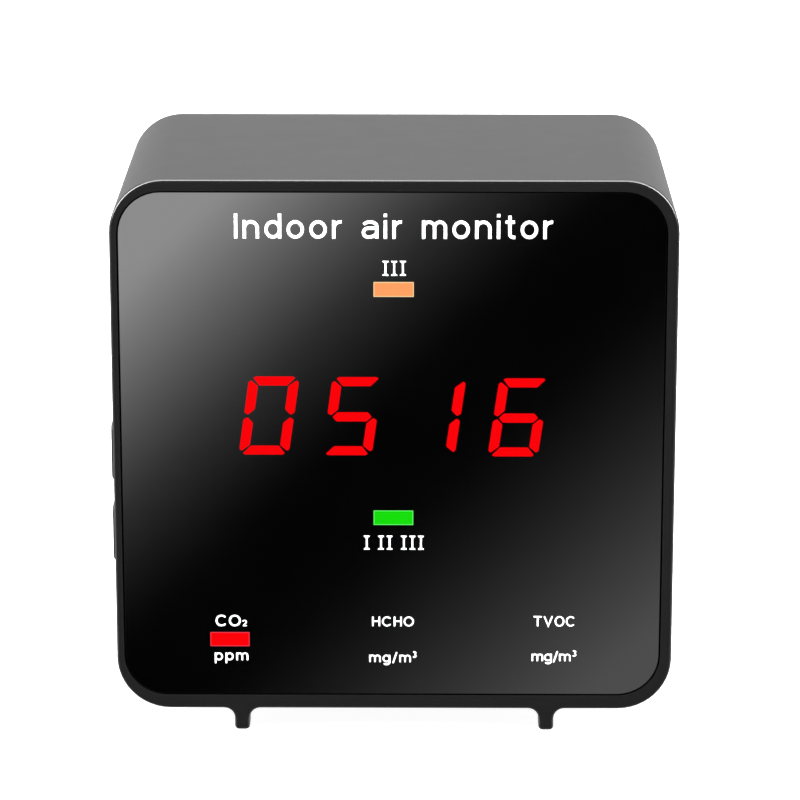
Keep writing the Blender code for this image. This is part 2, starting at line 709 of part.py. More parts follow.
def place_screws(prefix, mesh, centres, seat_y, facing, root):
    """One screw for each centre, its head towards +Y or -Y as facing is 1 or -1."""
    for number, (x, z) in enumerate(centres, 1):
        screw = bpy.data.objects.new(f"{prefix}_{number}", mesh)
        screw.parent = root
        screw.location = (x, seat_y, z)
        screw.rotation_euler = (-facing * math.pi / 2, 0, 0)
        bpy.context.scene.collection.objects.link(screw)


def make_screws(root):
    cover_screw = make_screw_mesh("cover_screw", 0.0019, 0.0011, 0.0009, 0.0080, 16)
    seat = COVER_REAR_Y - SINK_DEPTH + GAP
    place_screws("rear_cover_screw", cover_screw, four_corners(COLUMN_X, COLUMN_Z), seat, 1, root)
    board_screw = make_screw_mesh("board_screw", 0.0017, 0.0011, 0.0009, 0.0060, 10)
    place_screws("main_board_screw", board_screw, standoff_centres(), BOARD_REAR_Y + GAP, 1, root)
    seat = SENSOR_BOARD_Y[0] - GAP
    place_screws("sensor_board_screw", board_screw, sensor_post_centres(), seat, -1, root)


def make_sensors(root):
    """The sensor board on the rear cover, and the three sensors that face the vents."""
    low_y, high_y = SENSOR_BOARD_Y
    board = box_piece(
        "sensor_board",
        (-SENSOR_BOARD_X, low_y, SENSOR_BOARD_Z[0]),
        (SENSOR_BOARD_X, high_y, SENSOR_BOARD_Z[1]),
        BOARD_GREEN,
        root,
    )
    start, end = low_y - PAST, high_y + PAST
    holes = cylinder_shapes(sensor_post_centres(), SCREW_HOLE_RADIUS, start, end, steps=16)
    cut(board, "screw_holes", holes)
    seat = SENSOR_SEAT_Y
    x, z = CO2_CENTRE
    half_x, half_z = CO2_HALF_SIZE
    sensor = box_piece(
        "co2_sensor",
        (x - half_x, seat, z - half_z),
        (x + half_x, seat + CO2_BASE_HEIGHT, z + half_z),
        SENSOR_GOLD,
        root,
        0.0008,
    )
    chamber = rounded_rect(*CO2_CHAMBER_HALF_SIZE, 0.0020, 4, CO2_CENTRE)
    top = seat + CO2_HEIGHT
    join(sensor, "chamber", prism_shape(chamber, seat + CO2_BASE_HEIGHT / 2, top))
    window = rounded_rect(*CO2_WINDOW_HALF_SIZE, 0.0015, 4, CO2_CENTRE)
    cut(sensor, "air_window", prism_shape(window, top - CO2_WINDOW_DEPTH, top + PAST))
    cans = (
        ("hcho_sensor", (0.0110, 0.0505), 0.0050, 0.0065, SENSOR_WHITE),
        ("tvoc_sensor", (0.0110, 0.0360), 0.0040, 0.0055, TINNED_METAL),
    )
    for name, (x, z), radius, height, look in cans:
        bm = bmesh.new()
        brim = radius + 0.0006
        profile = (
            (0, 0), (brim, 0), (brim, 0.0007), (radius, 0.0007), (radius, height - 0.0004),
            (radius - 0.0004, height), (radius * 0.45, height), (radius * 0.45, height - 0.0006),
            (0, height - 0.0006),
        )
        add_lathe(bm, profile)
        can = mesh_object(name, bm, look, origin=(0, 0, 0), parent=root)
        can.location = (x, seat, z)
        can.rotation_euler = (-math.pi / 2, 0, 0)


def make_battery(root):
    """The flat cell on its foam pad, with two leads to a plug on the main board."""
    box_piece("battery_cell", BATTERY_LOW, BATTERY_HIGH, BATTERY_SILVER, root, 0.0010)
    pad_low = (BATTERY_LOW[0] + PAD_INSET, CHIP_Y, BATTERY_LOW[2] + PAD_INSET)
    pad_high = (BATTERY_HIGH[0] - PAD_INSET, BATTERY_LOW[1] - GAP, BATTERY_HIGH[2] - PAD_INSET)
    box_piece("battery_pad", pad_low, pad_high, FOAM_TAPE, root)
    x, z = PLUG_CENTRE
    half_x, half_z = HEADER_HALF_SIZE
    header = box_piece(
        "battery_header",
        (x - half_x, CHIP_Y, z - half_z),
        (x + half_x, CHIP_Y + HEADER_HEIGHT, z + half_z),
        CONNECTOR_WHITE,
        root,
    )
    floor = CHIP_Y + HEADER_FLOOR
    plug_top = CHIP_Y + HEADER_HEIGHT + 0.0010
    well = (
        (x - half_x + HEADER_WALL, floor, z - half_z + HEADER_WALL),
        (x + half_x - HEADER_WALL, plug_top, z + half_z - HEADER_WALL),
    )
    cut(header, "well", box_shapes(well))
    gap = THIN_GAP
    box_piece(
        "battery_plug",
        (well[0][0] + gap, floor + gap, well[0][2] + gap),
        (well[1][0] - gap, plug_top, well[1][2] - gap),
        CONNECTOR_WHITE,
        root,
        0.0002,
    )
    cell_y = (BATTERY_LOW[1] + BATTERY_HIGH[1]) / 2
    for name, side, look in (("red", -1, WIRE_RED), ("black", 1, WIRE_BLACK)):
        lead_x = x + side * LEAD_SPACING
        route = (
            (lead_x, plug_top + 0.0002, z),
            (lead_x, plug_top + 0.0022, z + 0.0002),
            (lead_x - 0.0012, plug_top + 0.0034, z + 0.0022),
            (lead_x - 0.0028, plug_top + 0.0020, z + 0.0044),
            (lead_x - 0.0034, cell_y + 0.0002, z + 0.0052),
            (lead_x - 0.0036, cell_y, BATTERY_LOW[2] - 0.0002),
        )
        make_lead(f"battery_lead_{name}", route, look, root)


def smooth_route(points, steps=3):
    """A Catmull-Rom curve through the points, a few steps to each stretch."""
    knots = [Vector(p) for p in points]
    knots = [2 * knots[0] - knots[1], *knots, 2 * knots[-1] - knots[-2]]
    route = []
    for a, b, c, d in zip(knots, knots[1:], knots[2:], knots[3:]):
        for i in range(steps):
            t = i / steps
            square, cube = 2 * a - 5 * b + 4 * c - d, 3 * b - a - 3 * c + d
            route.append((2 * b + (c - a) * t + square * t**2 + cube * t**3) / 2)
    return [*route, knots[-2]]


def make_lead(name, points, look, root):
    curve = bpy.data.curves.new(name, "CURVE")
    curve.dimensions = "3D"
    curve.bevel_depth = LEAD_RADIUS
    curve.bevel_resolution = 2
    curve.use_fill_caps = True
    route = smooth_route(points)
    spline = curve.splines.new("POLY")
    spline.points.add(len(route) - 1)
    origin = route[0].copy()
    for point, place in zip(spline.points, route):
        point.co = (*(place - origin), 1.0)
    curve.materials.append(material(look))
    lead = bpy.data.objects.new(name, curve)
    lead.parent = root
    lead.location = origin
    bpy.context.scene.collection.objects.link(lead)


def make_charge_board(root):
    """The charge board on the rear cover's rails, its port facing the hole in the cover."""
    board_low = (-CHARGE_BOARD_X, CHARGE_BOARD_Y[0], CHARGE_BOARD_Z[0])
    board_high = (CHARGE_BOARD_X, CHARGE_BOARD_Y[1], CHARGE_BOARD_Z[1])
    box_piece("charge_board", board_low, board_high, BOARD_GREEN, root)
    seat = CHARGE_SEAT_Z
    mouth_y = COVER_REAR_Y - PORT_SHELL_RECESS
    half_x, half_z, radius = PORT_SHELL_HALF_X, PORT_SHELL_HALF_Z, 0.0012
    outline = rounded_rect(half_x, half_z, radius, 5, (0.0, PORT_Z))
    start = mouth_y - PORT_SHELL_LENGTH
    shell = prism_piece("charge_port", outline, start, mouth_y, TINNED_METAL, root)
    wall = PORT_SHELL_WALL
    mouth = rounded_rect(half_x - wall, half_z - wall, radius - wall, 5, (0.0, PORT_Z))
    cut(shell, "mouth", prism_shape(mouth, mouth_y - 0.0060, mouth_y + 0.001))
    tongue = ((-0.0033, mouth_y - 0.0066, PORT_Z - 0.00035), (0.0033, mouth_y - 0.0007, PORT_Z + 0.00035))
    join(shell, "tongue", box_shapes(tongue))
    box_piece(
        "charge_chip", (-0.0080, 0.0050, seat), (-0.0030, 0.0089, seat + 0.0015), CHIP_BLACK, root, 0.0002
    )
    wire_z = seat + LEAD_RADIUS
    for name, x, look in (("red", 0.0010, WIRE_RED), ("black", 0.0034, WIRE_BLACK)):
        route = (
            (x, CHARGE_BOARD_Y[0] + 0.0022, wire_z),
            (x, CHARGE_BOARD_Y[0] - 0.0006, wire_z + 0.0001),
            (x, -0.0028, wire_z + 0.0016),
            (x, -0.0066, wire_z + 0.0030),
            (x, CHIP_Y + 0.0001, wire_z + 0.0032),
        )
        make_lead(f"charge_lead_{name}", route, look, root)


def make_ribbon(root):
    """The flat cable between the sensor board and the main board, with a socket at each end."""
    x, half_x = RIBBON_X, RIBBON_HALF_WIDTH
    front_z, rear_z = SOCKET_MAIN_Z, SOCKET_SENSOR_Z
    front_top = CHIP_Y + SOCKET_HEIGHT
    rear_seat = SENSOR_BOARD_Y[0] - GAP
    rear_top = rear_seat - SOCKET_HEIGHT
    sockets = (
        ("ribbon_socket_main", CHIP_Y, front_top, front_z),
        ("ribbon_socket_sensor", rear_top, rear_seat, rear_z),
    )
    for name, low_y, high_y, z in sockets:
        box_piece(
            name,
            (x - half_x - SOCKET_MARGIN, low_y, z - SOCKET_HALF_Z),
            (x + half_x + SOCKET_MARGIN, high_y, z + SOCKET_HALF_Z),
            CONNECTOR_WHITE,
            root,
            0.0002,
        )
    clear = 0.0002
    route = smooth_route(
        (
            (0, front_top + clear, front_z),
            (0, front_top + 0.0016, front_z + 0.0002),
            (0, front_top + 0.0028, front_z + 0.0030),
            (0, (front_top + rear_top) / 2, front_z + 0.0048),
            (0, rear_top - 0.0028, rear_z + 0.0034),
            (0, rear_top - 0.0016, rear_z + 0.0002),
            (0, rear_top - clear, rear_z),
        ),
        4,
    )
    upper, lower = [], []
    for i, place in enumerate(route):
        ahead, behind = route[min(i + 1, len(route) - 1)], route[max(i - 1, 0)]
        along = (ahead - behind).normalized()
        across = Vector((0, -along.z, along.y)) * RIBBON_THICKNESS / 2
        upper.append(((place + across).y, (place + across).z))
        lower.append(((place - across).y, (place - across).z))
    outline = lower + upper[::-1]
    prism_piece("sensor_ribbon", outline, x - half_x, x + half_x, RIBBON_GREY, root, "X")


def main():
    for thing in list(bpy.data.objects):
        bpy.data.objects.remove(thing)
    root = empty("monitor", (0, 0, 0))
    make_housing(root)
    make_front_panel(root)
    make_rear_cover(root)
    make_buttons(root)
    make_main_board(root)
    make_display(root)
    make_board_parts(root)
    make_sensors(root)
    make_battery(root)
    make_charge_board(root)
    make_ribbon(root)
    make_screws(root)


main()
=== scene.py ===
"""The looks of the desktop air monitor: finishes, print, lit display, studio and camera.

Lengths are in metres in the frame of the CAD model: +Z up and the front panel towards -Y.
"""

import math

import bmesh
import bpy
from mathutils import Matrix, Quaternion, Vector
from mathutils.geometry import delaunay_2d_cdt


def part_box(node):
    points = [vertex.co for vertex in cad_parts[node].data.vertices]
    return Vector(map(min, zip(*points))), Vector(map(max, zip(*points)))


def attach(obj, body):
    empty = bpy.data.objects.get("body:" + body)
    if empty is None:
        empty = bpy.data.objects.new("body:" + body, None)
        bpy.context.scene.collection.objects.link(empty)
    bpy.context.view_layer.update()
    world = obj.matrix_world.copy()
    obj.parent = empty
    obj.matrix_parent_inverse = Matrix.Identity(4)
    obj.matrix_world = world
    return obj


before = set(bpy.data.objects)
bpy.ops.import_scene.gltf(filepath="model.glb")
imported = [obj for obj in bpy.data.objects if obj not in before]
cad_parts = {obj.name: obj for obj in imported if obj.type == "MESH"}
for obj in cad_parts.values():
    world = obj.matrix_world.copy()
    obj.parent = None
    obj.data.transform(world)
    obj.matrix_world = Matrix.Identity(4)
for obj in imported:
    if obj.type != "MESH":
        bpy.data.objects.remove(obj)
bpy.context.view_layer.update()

MM = 0.001
BODY = "body"

panel_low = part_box("front_panel")[0]
housing_low, housing_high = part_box("housing")
PANEL_FACE = panel_low.y
FOOT_HEIGHT = 2.95 * MM
MIDDLE_Z = FOOT_HEIGHT + (housing_high.z - FOOT_HEIGHT) / 2

# Print and lit windows stand this far proud of the panel, and reach as far into it
PRINT_PROUD = 0.02 * MM
PRINT_SUNK = 0.03 * MM

# The four-digit display; its row drops a little to the right
DIGITS = "0516"
DIGIT_PITCH = 10.62 * MM
DIGIT_MIDDLE = Vector((-0.04 * MM, 0.0, FOOT_HEIGHT + 39.52 * MM))
DIGIT_ROW_DROP = 0.0057
DIGIT_SLANT = 0.1414
SEGMENT_ROUND = 0.16 * MM
WINDOW_ROUND = 0.06 * MM

# Half the width and half the height of a lamp's window, and the width of its paler edge
LAMP_HALF = (2.55 * MM, 0.97 * MM)
WINDOW_EDGE = 0.14 * MM

# Camera
CAMERA_TARGET = Vector((0.745 * MM, housing_low.y, FOOT_HEIGHT + 41.78 * MM))
CAMERA_DISTANCE = 0.4879
CAMERA_AZIMUTH = math.radians(0.328)
CAMERA_ELEVATION = math.radians(15.48)
CAMERA_ROLL = math.radians(0.032)
CAMERA_LENS = 172.3

# The CAD nodes' shading: points this close are welded, and folds flatter than these
# angles are dissolved or shaded smooth
WELD_WITHIN = 0.001 * MM
FLAT_UNDER = math.radians(0.5)
SMOOTH_UNDER = math.radians(38)

# Rows of copper tracks to a metre, before they are flattened
TRACK_SCALE = 420.0

# Steps in a rounded corner, and in the round end of a stroke
CORNER_STEPS = 4
CAP_STEPS = 8


# ---------------------------------------------------------------- node helpers


def node(tree, kind, inputs=None, **settings):
    """A node with its settings, and its inputs given as values or as sockets to link from."""
    made = tree.nodes.new(kind)
    for name, value in settings.items():
        setattr(made, name, value)
    for name, value in (inputs or {}).items():
        if isinstance(value, bpy.types.NodeSocket):
            tree.links.new(value, made.inputs[name])
        else:
            made.inputs[name].default_value = value
    return made


def math_node(tree, operation, *values, clamp=False):
    made = node(tree, "ShaderNodeMath", dict(enumerate(values)), operation=operation, use_clamp=clamp)
    return made.outputs[0]


def coordinates(tree, stretch=(1.0, 1.0, 1.0)):
    """Places on the piece in metres, stretched where a pattern runs along one axis."""
    source = node(tree, "ShaderNodeTexCoord").outputs["Object"]
    if stretch == (1.0, 1.0, 1.0):
        return source
    return node(tree, "ShaderNodeMapping", {"Vector": source, "Scale": stretch}).outputs["Vector"]


def noise(tree, size, detail=3.0, roughness=0.5, stretch=(1.0, 1.0, 1.0)):
    """Noise from 0 to 1 whose features are about the given size in metres."""
    inputs = {
        "Vector": coordinates(tree, stretch),
        "Scale": 1.0 / size,
        "Detail": detail,
        "Roughness": roughness,
    }
    return node(tree, "ShaderNodeTexNoise", inputs).outputs["Fac"]


def cells(tree, size):
    """Distances to the middles of cells of about the given size in metres."""
    inputs = {"Vector": coordinates(tree), "Scale": 1.0 / size}
    return node(tree, "ShaderNodeTexVoronoi", inputs).outputs["Distance"]


def remap(tree, value, low, high, to_low, to_high):
    inputs = {"Value": value, "From Min": low, "From Max": high, "To Min": to_low, "To Max": to_high}
    return node(tree, "ShaderNodeMapRange", inputs).outputs["Result"]


def blend_colour(tree, factor, first, second):
    made = node(tree, "ShaderNodeMix", data_type="RGBA")
    tree.links.new(factor, made.inputs["Factor"])
    for socket, value in ((made.inputs["A"], first), (made.inputs["B"], second)):
        for candidate in (s for s in made.inputs if s.name == socket.name and s.type == "RGBA"):
            if isinstance(value, bpy.types.NodeSocket):
                tree.links.new(value, candidate)
            else:
                candidate.default_value = (*value, 1.0)
    return next(s for s in made.outputs if s.type == "RGBA")


def bump(tree, height, depth, below=None):
    """Relief of the given depth in metres, on top of another relief where one is given."""
    inputs = {"Height": height, "Distance": depth, "Strength": 1.0}
    if below:
        inputs["Normal"] = below
    return node(tree, "ShaderNodeBump", inputs).outputs["Normal"]


def edge_mask(tree, radius):
    """1 on convex edges and 0 on flat faces, from how far a rounded normal leans away."""
    rounded = node(tree, "ShaderNodeBevel", {"Radius": radius}, samples=4).outputs["Normal"]
    plain = node(tree, "ShaderNodeNewGeometry").outputs["Normal"]
    product = node(tree, "ShaderNodeVectorMath", {0: rounded, 1: plain}, operation="DOT_PRODUCT")
    return remap(tree, product.outputs["Value"], 0.995, 0.93, 0.0, 1.0)


def new_material(name, colour, roughness, metallic=0.0, **sockets):
    """A Principled material; further sockets are given by name with _ for a space."""
    made = bpy.data.materials.new(name)
    made.use_nodes = True
    made.diffuse_color = (*colour, 1.0)
    shader = made.node_tree.nodes["Principled BSDF"]
    shader.inputs["Base Color"].default_value = (*colour, 1.0)
    shader.inputs["Roughness"].default_value = roughness
    shader.inputs["Metallic"].default_value = metallic
    for socket, value in sockets.items():
        shader.inputs[socket.replace("_", " ")].default_value = value
    return made, made.node_tree, shader


def scaled(colour, factor):
    return tuple(min(1.0, channel * factor) for channel in colour)


# ------------------------------------------------------------------- finishes


def moulded_plastic(name, colour, roughness, grain=0.16 * MM, depth=0.004 * MM, patch=0.03):
    """Fine-textured moulded plastic: spark-eroded grain, cloudy gloss and lighter rubbed edges."""
    made, tree, shader = new_material(name, colour, roughness)
    cloud = noise(tree, 9 * MM, 4.0)
    tint = blend_colour(tree, cloud, scaled(colour, 0.88), scaled(colour, 1.12))
    worn = math_node(tree, "MULTIPLY", edge_mask(tree, 0.25 * MM), noise(tree, 1.8 * MM, 4.0, 0.7))
    colour_out = blend_colour(tree, worn, tint, scaled(colour, 1.35))
    tree.links.new(colour_out, shader.inputs["Base Color"])
    patchy = remap(tree, noise(tree, 4 * MM, 5.0, 0.6), 0.3, 0.7, roughness - patch, roughness + patch)
    rubbed = math_node(tree, "SUBTRACT", patchy, math_node(tree, "MULTIPLY", worn, 0.08))
    tree.links.new(rubbed, shader.inputs["Roughness"])
    coarse = bump(tree, noise(tree, grain * 2.5, 2.0), depth)
    fine = bump(tree, cells(tree, grain), depth, coarse)
    tree.links.new(fine, shader.inputs["Normal"])
    return made


def housing_plastic(name, colour):
    """Moulded plastic whose front and back faces are matt and whose rounded edges are polished."""
    made = moulded_plastic(name, colour, 0.34, depth=0.0006 * MM, patch=0.010)
    tree = made.node_tree
    shader = tree.nodes["Principled BSDF"]
    normal = node(tree, "ShaderNodeNewGeometry").outputs["Normal"]
    parts = node(tree, "ShaderNodeSeparateXYZ", {0: normal}).outputs
    lean = math_node(tree, "ABSOLUTE", parts["Y"])
    on_face = remap(tree, lean, 0.95, 0.995, 0.0, 1.0)
    off_sides = remap(tree, lean, 0.04, 0.25, 0.0, 1.0)
    off_face = remap(tree, lean, 0.93, 0.99, 1.0, 0.0)
    on_edge = math_node(tree, "MULTIPLY", off_sides, off_face)
    textured = shader.inputs["Roughness"].links[0].from_socket
    polished = remap(tree, on_edge, 0.0, 1.0, 1.0, 0.45)
    matt = remap(tree, on_face, 0.0, 1.0, 1.0, 1.45)
    factor = math_node(tree, "MULTIPLY", polished, matt)
    tree.links.new(math_node(tree, "MULTIPLY", textured, factor), shader.inputs["Roughness"])
    dull = remap(tree, on_face, 0.0, 1.0, 0.5, 0.15)
    gloss = remap(tree, on_edge, 0.0, 1.0, 0.0, 0.5)
    tree.links.new(math_node(tree, "ADD", dull, gloss), shader.inputs["Specular IOR Level"])
    return made


def polished_acrylic(name, colour):
    """Back-printed black acrylic: a hard gloss with faint wiping marks and a trace of orange peel."""
    made, tree, shader = new_material(name, colour, 0.05, Specular_IOR_Level=0.5, IOR=1.49)
    wipe = noise(tree, 2.2 * MM, 5.0, 0.65, (0.22, 1.0, 1.0))
    haze = noise(tree, 15 * MM, 3.0)
    marks = math_node(tree, "MULTIPLY", wipe, haze)
    tree.links.new(remap(tree, marks, 0.15, 0.45, 0.025, 0.045), shader.inputs["Roughness"])
    tint = blend_colour(tree, haze, scaled(colour, 0.8), scaled(colour, 1.25))
    tree.links.new(tint, shader.inputs["Base Color"])
    tree.links.new(bump(tree, noise(tree, 6 * MM, 1.0), 0.0006 * MM), shader.inputs["Normal"])
    return made


def foam(name, colour):
    """Closed-cell foam whose colour is darkened in the sunken pores: painted shade in the pores."""
    made, tree, shader = new_material(name, colour, 0.9)
    pores = cells(tree, 0.22 * MM)
    # Painted shade: the colour darkens towards each pore's hollow middle, where the bump sinks
    height = remap(tree, pores, 0.0, 0.8, 0.0, 1.0)
    tint = blend_colour(tree, height, scaled(colour, 0.5), scaled(colour, 1.5))
    tree.links.new(tint, shader.inputs["Base Color"])
    tree.links.new(bump(tree, pores, 0.06 * MM), shader.inputs["Normal"])
    return made


def solder_mask(name, colour):
    """Glass-fibre board under green solder mask, with copper tracks showing as raised lines."""
    made, tree, shader = new_material(name, colour, 0.34, Coat_Weight=0.3, Coat_Roughness=0.2)
    upright = {"Vector": coordinates(tree), "Rotation": (math.pi / 2, 0, 0)}
    inputs = {
        "Vector": node(tree, "ShaderNodeMapping", upright).outputs["Vector"],
        "Scale": TRACK_SCALE,
        "Mortar Size": 0.045,
        "Mortar Smooth": 0.25,
        "Brick Width": 1.7,
        "Row Height": 0.62,
    }
    tracks = node(tree, "ShaderNodeTexBrick", inputs, offset=0.37).outputs["Fac"]
    breaks = remap(tree, noise(tree, 5 * MM, 2.0), 0.47, 0.53, 0.0, 1.0)
    shown = math_node(tree, "MULTIPLY", tracks, breaks)
    weave = noise(tree, 0.7 * MM, 2.0)
    ground = blend_colour(tree, weave, scaled(colour, 0.8), scaled(colour, 1.15))
    tree.links.new(blend_colour(tree, shown, ground, scaled(colour, 2.1)), shader.inputs["Base Color"])
    tree.links.new(remap(tree, weave, 0.3, 0.7, 0.30, 0.40), shader.inputs["Roughness"])
    tree.links.new(bump(tree, shown, 0.03 * MM), shader.inputs["Normal"])
    return made


def bare_metal(name, colour, roughness, stretch=(1.0, 1.0, 1.0), size=0.5 * MM):
    """Plated or rolled metal: drawn scratches, cloudy oxide and bright rubbed edges."""
    made, tree, shader = new_material(name, colour, roughness, 1.0)
    drawn = noise(tree, size, 4.0, 0.6, stretch)
    cloud = noise(tree, 2.5 * MM, 4.0, 0.6)
    ground = blend_colour(tree, cloud, scaled(colour, 0.8), scaled(colour, 1.1))
    worn = edge_mask(tree, 0.12 * MM)
    tree.links.new(blend_colour(tree, worn, ground, scaled(colour, 1.5)), shader.inputs["Base Color"])
    streaky = remap(tree, drawn, 0.3, 0.7, roughness - 0.07, roughness + 0.09)
    tree.links.new(streaky, shader.inputs["Roughness"])
    tree.links.new(bump(tree, drawn, 0.004 * MM), shader.inputs["Normal"])
    return made


def pouch_foil(name, colour):
    """The cell's laminated foil, slightly crinkled."""
    made, tree, shader = new_material(name, colour, 0.36, 0.85)
    crinkle = noise(tree, 3.5 * MM, 5.0, 0.55)
    tint = blend_colour(tree, crinkle, scaled(colour, 0.85), scaled(colour, 1.12))
    tree.links.new(tint, shader.inputs["Base Color"])
    tree.links.new(remap(tree, crinkle, 0.3, 0.7, 0.30, 0.44), shader.inputs["Roughness"])
    tree.links.new(bump(tree, crinkle, 0.12 * MM), shader.inputs["Normal"])
    return made


def frosted(name, colour):
    """The light guides' frosted plastic."""
    made, tree, shader = new_material(name, colour, 0.4, Transmission_Weight=0.6, IOR=1.49)
    cloud = noise(tree, 1.2 * MM, 4.0)
    tree.links.new(blend_colour(tree, cloud, scaled(colour, 0.92), colour), shader.inputs["Base Color"])
    tree.links.new(remap(tree, cloud, 0.3, 0.7, 0.34, 0.46), shader.inputs["Roughness"])
    tree.links.new(bump(tree, noise(tree, 0.12 * MM, 2.0), 0.004 * MM), shader.inputs["Normal"])
    return made


def cable_sheath(name, colour, ribs=0.0):
    """Wire insulation; a flat cable has a rib for each of its wires across X."""
    made, tree, shader = new_material(name, colour, 0.48)
    cloud = noise(tree, 1.5 * MM, 4.0)
    tint = blend_colour(tree, cloud, scaled(colour, 0.85), scaled(colour, 1.1))
    tree.links.new(tint, shader.inputs["Base Color"])
    tree.links.new(remap(tree, cloud, 0.3, 0.7, 0.42, 0.54), shader.inputs["Roughness"])
    relief = bump(tree, noise(tree, 0.3 * MM, 3.0), 0.004 * MM)
    if ribs:
        inputs = {"Vector": coordinates(tree), "Scale": 1.0 / ribs, "Distortion": 0.0}
        wave = node(tree, "ShaderNodeTexWave", inputs, bands_direction="X").outputs["Fac"]
        relief = bump(tree, wave, 0.15 * MM, relief)
    tree.links.new(relief, shader.inputs["Normal"])
    return made


def self_lit_printed_ink(name, colour):
    """Screen-printed ink: nearly even, faintly mottled by the mesh, and bright in any light by a painted
    glow.
    """
    made, tree, shader = new_material(name, colour, 0.55, Specular_IOR_Level=0.2, Emission_Strength=0.55)
    mottle = noise(tree, 0.35 * MM, 3.0)
    tint = blend_colour(tree, mottle, scaled(colour, 0.95), colour)
    tree.links.new(tint, shader.inputs["Base Color"])
    # Painted light: the ink glows in its own colour, though it is no lamp
    tree.links.new(tint, shader.inputs["Emission Color"])
    tree.links.new(remap(tree, mottle, 0.3, 0.7, 0.48, 0.62), shader.inputs["Roughness"])
    tree.links.new(bump(tree, mottle, 0.002 * MM), shader.inputs["Normal"])
    return made


def glowing(name, colour):
    """A lit surface that hardly reflects; its light's colour is still to be linked."""
    return new_material(name, scaled(colour, 0.005), 0.5, Specular_IOR_Level=0.01, Emission_Strength=1.0)


def lit_window(name, colour, edge_colour):
    """A lit window: even light, with a paler line where the light guide's edges meet the panel."""
    made, tree, shader = glowing(name, colour)
    place = node(tree, "ShaderNodeTexCoord").outputs["Generated"]
    parts = node(tree, "ShaderNodeSeparateXYZ", {0: place}).outputs
    across = math_node(tree, "ABSOLUTE", math_node(tree, "SUBTRACT", parts["X"], 0.5))
    up = math_node(tree, "ABSOLUTE", math_node(tree, "SUBTRACT", parts["Z"], 0.5))
    reach_x, reach_z = (WINDOW_EDGE / (2 * half) for half in LAMP_HALF)
    rim_x = remap(tree, across, 0.5 - reach_x, 0.5 - reach_x / 2, 0.0, 1.0)
    rim_z = remap(tree, up, 0.5 - reach_z, 0.5 - reach_z / 2, 0.0, 1.0)
    rim = math_node(tree, "MAXIMUM", rim_x, rim_z, clamp=True)
    uneven = noise(tree, 1.6 * MM, 2.0)
    ground = blend_colour(tree, uneven, scaled(colour, 0.96), scaled(colour, 1.04))
    tree.links.new(blend_colour(tree, rim, ground, edge_colour), shader.inputs["Emission Color"])
    return made


def lit_segment(name, colour):
    """A display segment: light through a diffusing foil, a trace uneven."""
    made, tree, shader = glowing(name, colour)
    uneven = noise(tree, 1.1 * MM, 3.0)
    tint = blend_colour(tree, uneven, scaled(colour, 0.94), colour)
    tree.links.new(tint, shader.inputs["Emission Color"])
    tree.links.new(remap(tree, uneven, 0.3, 0.7, 0.45, 0.55), shader.inputs["Roughness"])
    return made


HOUSING_BLACK = (0.0055, 0.0055, 0.0058)
BUTTON_BLACK = scaled(HOUSING_BLACK, 0.9)

FINISHES = {
    "housing_plastic": housing_plastic("textured_black_plastic", HOUSING_BLACK),
    "button_plastic": moulded_plastic("button_black_plastic", BUTTON_BLACK, 0.38, depth=0.003 * MM),
    "panel_black": polished_acrylic("black_acrylic", (0.0005, 0.0005, 0.0006)),
    "foam_tape": foam("black_foam", (0.02, 0.02, 0.02)),
    "board_green": solder_mask("green_solder_mask", (0.010, 0.110, 0.045)),
    "chip_black": moulded_plastic("chip_epoxy", (0.016, 0.016, 0.017), 0.55, 0.08 * MM, 0.003 * MM),
    "tinned_metal": bare_metal("tinned_steel", (0.62, 0.62, 0.60), 0.30),
    "screw_steel": bare_metal("black_zinc_steel", (0.12, 0.12, 0.125), 0.34, size=0.2 * MM),
    "display_grey": moulded_plastic("display_resin", (0.06, 0.06, 0.065), 0.5),
    "mask_black": moulded_plastic("matt_black_plastic", (0.012, 0.012, 0.012), 0.75),
    "lamp_clear": frosted("frosted_guide", (0.80, 0.80, 0.78)),
    "lamp_white": moulded_plastic("lamp_phosphor", (0.80, 0.74, 0.48), 0.45, 0.1 * MM, 0.003 * MM),
    "sensor_gold": bare_metal("gold_plate", (0.70, 0.48, 0.16), 0.32, (1.0, 1.0, 0.15)),
    "sensor_white": moulded_plastic("white_plastic", (0.70, 0.70, 0.68), 0.5),
    "battery_silver": pouch_foil("pouch_foil", (0.55, 0.56, 0.57)),
    "connector_white": moulded_plastic("natural_nylon", (0.76, 0.74, 0.68), 0.5),
    "wire_red": cable_sheath("red_insulation", (0.50, 0.015, 0.012)),
    "wire_black": cable_sheath("black_insulation", (0.014, 0.014, 0.014)),
    "ribbon_grey": cable_sheath("grey_flat_cable", (0.35, 0.35, 0.36), 2.8 * MM),
}

# The white print glows a little in its own colour: painted light, not a lamp
SELF_LIT_WHITE_INK = self_lit_printed_ink("white_ink_self_lit", (0.93, 0.93, 0.93))
RED_LIGHT = (0.98, 0.0, 0.002)
RED_SEGMENT = lit_segment("red_segment", RED_LIGHT)
ORANGE_WINDOW = lit_window("orange_window", (1.0, 0.36, 0.125), (1.0, 0.75, 0.40))
GREEN_WINDOW = lit_window("green_window", (0.008, 0.72, 0.003), (0.13, 1.0, 0.15))
RED_WINDOW = lit_window("red_window", RED_LIGHT, (0.83, 0.045, 0.08))


# ------------------------------------------------------- the CAD model's nodes


